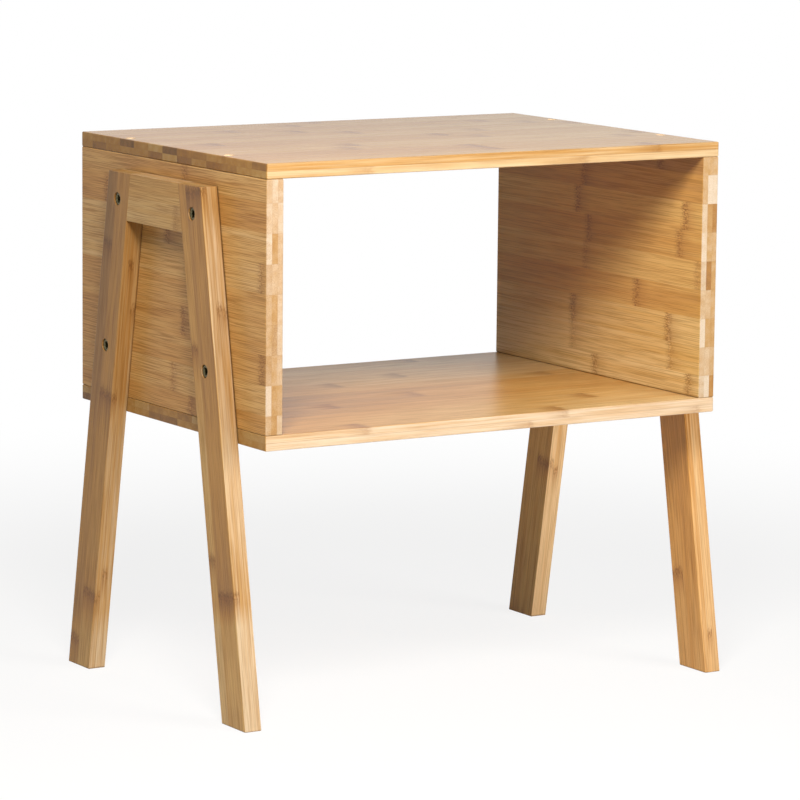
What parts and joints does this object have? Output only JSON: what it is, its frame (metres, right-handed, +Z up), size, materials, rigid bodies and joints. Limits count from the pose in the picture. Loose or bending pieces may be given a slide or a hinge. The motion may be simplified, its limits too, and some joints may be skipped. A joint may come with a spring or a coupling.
{
  "type": "nightstand",
  "caption": "Open bamboo nightstand: a shallow case of laminated boards with a storage cubby, bolted between splayed A-shaped leg frames.",
  "frame": {"origin": "on the floor, under the middle of the case", "axes": "+X to the right along the front, +Y from front to back, +Z up"},
  "size_m": [0.45, 0.302, 0.438],
  "materials": {
    "bamboo_board": "laminated bamboo strips, clear satin lacquer",
    "bamboo_panel": "laminated bamboo strips, clear satin lacquer",
    "bamboo_leg": "laminated bamboo strips, clear satin lacquer",
    "bamboo_plug": "pale bamboo, pressed in below the face",
    "dowel_wood": "plain beech",
    "bolt_steel": "zinc-plated steel",
    "insert_nut_zinc": "die-cast zinc",
    "screw_steel": "yellow-passivated steel"
  },
  "bodies": {
    "root": {"top_board": "bamboo_board", "bottom_shelf": "bamboo_board", "left_side_panel": "bamboo_panel", "right_side_panel": "bamboo_panel", "left_front_leg": "bamboo_leg", "left_front_leg_bolts": "bolt_steel", "left_rear_leg": "bamboo_leg", "left_rear_leg_bolts": "bolt_steel", "left_cross_rail": "bamboo_leg", "left_insert_nuts": "insert_nut_zinc", "left_rail_dowels": "dowel_wood", "right_front_leg": "bamboo_leg", "right_front_leg_bolts": "bolt_steel", "right_rear_leg": "bamboo_leg", "right_rear_leg_bolts": "bolt_steel", "right_cross_rail": "bamboo_leg", "right_insert_nuts": "insert_nut_zinc", "right_rail_dowels": "dowel_wood", "top_left_screws": "screw_steel", "top_left_dowels": "dowel_wood", "top_left_plugs": "bamboo_plug", "top_right_screws": "screw_steel", "top_right_dowels": "dowel_wood", "top_right_plugs": "bamboo_plug", "shelf_left_screws": "screw_steel", "shelf_left_dowels": "dowel_wood", "shelf_right_screws": "screw_steel", "shelf_right_dowels": "dowel_wood"}
  },
  "joints": []
}
